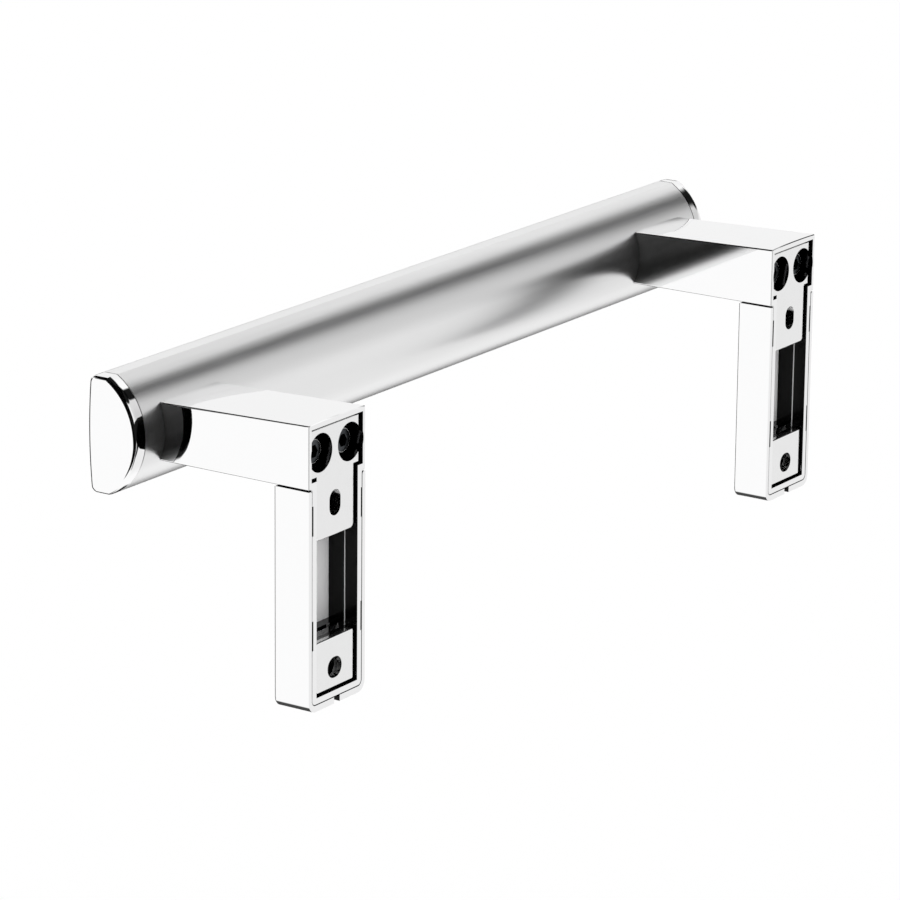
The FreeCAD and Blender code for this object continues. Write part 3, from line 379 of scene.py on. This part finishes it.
class Leg:
    """Places on one arm and its leg, and tests on the middle and normal of their faces."""

    def __init__(self, hand):
        self.low, self.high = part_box(f"leg_cover_{hand}")
        self.centre = (self.low.x + self.high.x) / 2
        self.half = (self.high.x - self.low.x) / 2
        self.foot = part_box(f"lower_anchor_{hand}")[1].z
        self.anchor_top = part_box(f"upper_anchor_{hand}")[1].z
        self.screw_level, outer, inner = screw_places()
        self.screw_spread = (outer - inner) / 2

    def looks_in(self, middle, normal):
        """Looks to the middle of the leg."""
        return (middle.x - self.centre) * normal.x < 0

    def beside_window(self, middle, normal):
        """Upright and looks in, between the foot and the arm."""
        between = self.foot < middle.z < self.high.z
        return between and self.looks_in(middle, normal) and abs(normal.z) < LEVEL

    def on_side_wall(self, middle, normal):
        """On the flat of a side wall of the leg frame."""
        return self.beside_window(middle, normal) and abs(normal.x) > SQUARE

    def on_step(self, middle, normal):
        """On the rounded step that makes the side walls thin."""
        rounded = -FRAME_STEP < middle.y < -FRAME_STEP + FRAME_STEP_EDGE
        return self.beside_window(middle, normal) and abs(normal.x) <= SQUARE and rounded

    def on_front_wall(self, middle, normal):
        """On the inner face of the cover's front wall."""
        return normal.y > FLAT and abs(middle.y + LEG_DEPTH - COVER_FRONT_WALL) < NEAR

    def on_inner_side(self, middle, normal):
        """On the inner face of a side wall of the cover."""
        wall = abs(abs(middle.x - self.centre) - self.half + COVER_SIDE_WALL) < NEAR
        return wall and self.looks_in(middle, normal) and abs(normal.x) > FLAT

    def in_anchor_seat(self, middle, normal):
        """On the faces round the upper anchor that lean to a side."""
        beside = abs(middle.x - self.centre) < self.half - RIM_SIDE + NEAR
        deep = -ANCHOR_DEPTH < middle.y < -MOUTH_EDGE
        return middle.z > self.high.z and beside and deep and abs(normal.x) > LEANING

    def behind_tongue(self, middle, normal):
        """On the wall in front of the upper anchor's tongue."""
        return normal.y > FLAT and abs(middle.y + TONGUE_SEAT) < ROUGHLY

    def in_snap_pocket(self, middle, normal):
        """In the snap pockets of the leg frame, and on its sides at their depth."""
        between = self.foot < middle.z < self.high.z
        return between and -SNAP_DEPTH - ROUGHLY < middle.y < -MOUTH_EDGE and normal.y < TURNED

    def on_snap_rib(self, middle, normal):
        """On the wall side of the snap ribs of the cover."""
        return normal.y > TURNED and -SNAP_DEPTH < middle.y < -SNAP_RIB_START + ROUGHLY

    def in_notch(self, middle, normal):
        """In the prying notch of the cover's bottom wall."""
        beside = abs(middle.x - self.centre) < NOTCH_HALF + NEAR
        through = self.low.z + NEAR < middle.z < self.low.z + COVER_BOTTOM_WALL + ROUGHLY
        return beside and through and abs(normal.z) < TURNED

    def on_ledge(self, middle, normal):
        """On what faces up near the top of the lower anchor."""
        close = abs(middle.z - self.foot) < LEDGE_REACH
        return close and normal.z > FLAT and self.low.x < middle.x < self.high.x

    def on_mouth_edge(self, middle, normal):
        """On the broken edge at the wall, where it leans to a side."""
        return middle.y > -MOUTH_EDGE - NEAR and TURNED < normal.y < FLAT and abs(normal.x) > LEANING

    def on_anchor_top(self, middle, normal):
        """On the top of the upper anchor."""
        return normal.z > FLAT and middle.z > self.anchor_top - NEAR

    def in_counterbore(self, middle, normal):
        """On the round wall of a counterbore, whose faces look to its axis."""
        side = math.copysign(1.0, middle.x - self.centre)
        across = abs(middle.x - self.centre) - self.screw_spread
        up = middle.z - self.screw_level
        round_wall = abs(math.hypot(across, up) - BORE_RADIUS) < NEAR and abs(normal.y) < LEVEL
        return round_wall and across * side * normal.x + up * normal.z <= 0


def leg_finishes(leg):
    """Painted shade, highlights and reflections on an arm and its leg: piece, finish and test, later
    rows over earlier ones.
    """
    return (
        ("post", "painted_shade_wall", leg.in_anchor_seat),
        ("post", "painted_shade_wall", leg.behind_tongue),
        ("post", "painted_shade_wall", leg.in_snap_pocket),
        ("post", "painted_shade_wall", leg.on_side_wall),
        ("post", "painted_step_highlight", leg.on_step),
        ("post", "painted_edge_light", leg.on_mouth_edge),
        ("post", "painted_bore_shade", leg.in_counterbore),
        ("post", "painted_shade_wall", leg.on_ledge),
        ("upper_anchor", "painted_edge_light", leg.on_anchor_top),
        ("upper_anchor", "painted_bore_shade", leg.in_counterbore),
        ("leg_cover", "painted_light_wall", leg.on_front_wall),
        ("leg_cover", "painted_shade_wall", leg.on_snap_rib),
        ("leg_cover", "painted_shade_wall", leg.on_inner_side),
        ("leg_cover", "painted_shade_wall", leg.in_notch),
        ("leg_cover", "painted_shade_wall", leg.on_ledge),
    )


def finish_legs():
    """Paint shade, highlights and reflections on faces of both arms and legs, most of them inside."""
    for hand in ("left", "right"):
        for piece, finish, test in leg_finishes(Leg(hand)):
            finish_faces(nodes[f"{piece}_{hand}"].data, finish, test)


def add_piece(name, vertices, faces, finish, node):
    """Make a smooth-shaded mesh that rides on the fitting and stands for a CAD node."""
    mesh = bpy.data.meshes.new(name)
    mesh.from_pydata(vertices, [], faces)
    mesh.shade_smooth()
    mesh.set_sharp_from_angle(angle=SHARP_ANGLE)
    mesh.materials.append(finishes[finish])
    piece = bpy.data.objects.new(name, mesh)
    bpy.context.scene.collection.objects.link(piece)
    weighted = piece.modifiers.new("even_faces", "WEIGHTED_NORMAL")
    weighted.keep_sharp = True
    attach(piece, "root")
    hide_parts(node)
    return mesh


def bridge(rings, closed=False):
    """Faces between rings of points, one after the other; open rows also get end faces."""
    count, rows = len(rings[0]), len(rings)
    faces = []
    for first in range(rows if closed else rows - 1):
        second = (first + 1) % rows
        for i in range(count):
            j = (i + 1) % count
            faces.append((first * count + i, first * count + j, second * count + j, second * count + i))
    if not closed:
        faces.append(tuple(reversed(range(count))))
        faces.append(tuple(range((rows - 1) * count, rows * count)))
    return faces


def joined(rings):
    return [point for ring in rings for point in ring]


def arc(centre, radius, start, end, steps):
    """Points of an arc about a centre, as (y, z)."""
    turns = [start + (end - start) * i / steps for i in range(steps + 1)]
    return [(centre[0] + radius * math.cos(a), centre[1] + radius * math.sin(a)) for a in turns]


def swell_radius(half, swell):
    """Radius of an arc that stands out by its swell over the middle of its width."""
    return (half ** 2 + swell ** 2) / (2 * swell)


def rail_outline(inset):
    """The rail's D section as (y, z), drawn in by an inset: round back, flat top, swollen front."""
    low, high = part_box("grip_rail")
    middle, half = (low.z + high.z) / 2, (high.z - low.z) / 2
    back_radius, front_radius = swell_radius(half, RAIL_BACK_SWELL), swell_radius(half, RAIL_BULGE)
    back_centre, front_centre = high.y - back_radius, low.y + front_radius
    corner = half - RAIL_EDGE
    corner_y = front_centre - math.sqrt((front_radius - RAIL_EDGE) ** 2 - corner ** 2)
    corner_turn = math.atan2(corner, corner_y - front_centre)
    back_turn = math.asin((half - inset) / (back_radius - inset))
    full, quarter, edge = 2 * math.pi, math.pi / 2, RAIL_EDGE - inset
    rear = arc((back_centre, middle), back_radius - inset, -back_turn, back_turn, BACK_STEPS)
    upper = arc((corner_y, middle + corner), edge, quarter, corner_turn, EDGE_STEPS)
    front = arc(
        (front_centre, middle), front_radius - inset, corner_turn, full - corner_turn, FRONT_STEPS
    )
    lower = arc((corner_y, middle - corner), edge, full - corner_turn, 3 * quarter, EDGE_STEPS)
    return rear + upper + front[1:-1] + lower


def section_rings(stations):
    """Rings of the rail's section at (x, inset) stations."""
    return [[(x, y, z) for y, z in rail_outline(inset)] for x, inset in stations]


def make_rail():
    """Hollow rail with smooth long faces."""
    low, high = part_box("grip_rail")
    left = [(low.x, END_BREAK), (low.x + END_BREAK, 0)]
    right = [(high.x - END_BREAK, 0), (high.x, END_BREAK)]
    inside = [(high.x, RAIL_WALL), (low.x, RAIL_WALL)]
    rings = section_rings(left + right + inside)
    faces = bridge(rings, closed=True)
    add_piece("grip_rail_finish", joined(rings), faces, "satin_aluminium", "grip_rail")


def cap_stations(seam, face):
    """Stations of a cap: its broken edge, its side that curves in, and the rounded rim of its face."""
    start, end = face - CAP_SHOULDER_LENGTH, face - CAP_RIM
    length = end - start
    radius = swell_radius(length, CAP_SHOULDER_DEPTH)
    stations = [(seam, END_BREAK), (seam + END_BREAK, 0)]
    for i in range(ROUND_STEPS + 1):
        along = length * i / ROUND_STEPS
        stations.append((start + along, radius - math.sqrt(radius ** 2 - along ** 2)))
    lean = math.asin(length / radius)
    rim = CAP_RIM / (1 - math.sin(lean))
    for i in range(1, RIM_STEPS + 1):
        turn = lean + (math.pi / 2 - lean) * i / RIM_STEPS
        inset = CAP_SHOULDER_DEPTH + rim * (math.cos(lean) - math.cos(turn))
        stations.append((face - rim * (1 - math.sin(turn)), inset))
    return stations


def pin_rings(low, high, seam, ring):
    """Rings of the pin behind a cap, with a point for each one of the cap's first ring."""
    middle = Vector((0, (low.y + high.y) / 2, (low.z + high.z) / 2))
    around = [(Vector((0, y, z)) - middle).normalized() * PIN_RADIUS + middle for x, y, z in ring]
    return [[(x, point.y, point.z) for point in around] for x in (low.x, seam)]


def make_end_cap(hand):
    """End cap with its pin, and a painted shadow line where it meets the rail."""
    side = 1 if hand == "right" else -1
    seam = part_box("grip_rail")[1].x
    low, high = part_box("end_cap_right")
    rings = section_rings(cap_stations(seam, high.x))
    rings = pin_rings(low, high, seam, rings[0]) + rings
    vertices = [(side * x, y, z) for x, y, z in joined(rings)]
    faces = [face[::side] for face in bridge(rings)]
    mesh = add_piece(f"end_cap_{hand}_finish", vertices, faces, "chrome", f"end_cap_{hand}")

    def in_seam(middle, normal):
        return seam < abs(middle.x) < seam + END_BREAK

    # Painted shadow in the seam between cap and rail
    finish_faces(mesh, "painted_shade_wall", in_seam)


def screw_rows(top, tip, radius):
    """Depths and radii of one screw, from the floor of its drive to its tip, and the turns round it."""
    teeth = len(KNURL_WAVE)
    count = KNURL_TEETH * teeth
    corner_turn = 2 * math.pi / DRIVE_SIDES
    turns = [2 * math.pi * i / count for i in range(count)]
    drive = [DRIVE_FLAT / 2 / math.cos(turn % corner_turn - corner_turn / 2) for turn in turns]
    knurl = [radius - KNURL_DEPTH * KNURL_WAVE[i % teeth] for i in range(count)]
    under = top - HEAD_HEIGHT
    rows = [
        (top - DRIVE_DEPTH, drive),
        (top - DRIVE_BREAK, drive),
        (top, [r + DRIVE_BREAK for r in drive]),
    ]
    for i in range(RIM_STEPS + 1):
        turn = math.pi / 2 * i / RIM_STEPS
        depth = top - HEAD_ROUND * (1 - math.cos(turn))
        rows.append((depth, [radius - HEAD_ROUND * (1 - math.sin(turn))] * count))
    rows += [
        (top - HEAD_ROUND - KNURL_DEPTH, knurl),
        (under + HEAD_ROUND / 2, knurl),
        (under, [radius - HEAD_ROUND / 2] * count),
        (under, [SHANK_RADIUS] * count),
        (tip + SHANK_TIP, [SHANK_RADIUS] * count),
        (tip, [SHANK_RADIUS - SHANK_TIP] * count),
    ]
    return rows, turns


def make_screws():
    """Four screws with hexagon sockets, knurled heads and a pale painted highlight on the rim."""
    low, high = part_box("rail_screws")
    level, outer, inner = screw_places()
    radius = high.x - outer
    rows, turns = screw_rows(high.y, low.y, radius)
    vertices, faces = [], []
    for across in (outer, inner, -inner, -outer):
        rings = [
            [(across + r * math.cos(a), depth, level + r * math.sin(a)) for r, a in zip(radii, turns)]
            for depth, radii in rows
        ]
        start = len(vertices)
        vertices += joined(rings)
        faces += [tuple(start + i for i in face) for face in bridge(rings)]
    mesh = add_piece("rail_screws_finish", vertices, faces, "steel", "rail_screws")

    def on_rim(middle, normal):
        away = min(math.hypot(abs(middle.x) - across, middle.z - level) for across in (outer, inner))
        rounded = high.y - HEAD_ROUND < middle.y < high.y - HIGHLIGHT_START
        return rounded and away > radius - HEAD_ROUND

    finish_faces(mesh, "painted_rim_highlight", on_rim)


make_world()
make_camera()
make_floor()
finishes = make_finishes()
dress_nodes()
finish_legs()
make_rail()
make_end_cap("right")
make_end_cap("left")
make_screws()
bpy.context.scene.view_settings.view_transform = "Standard"
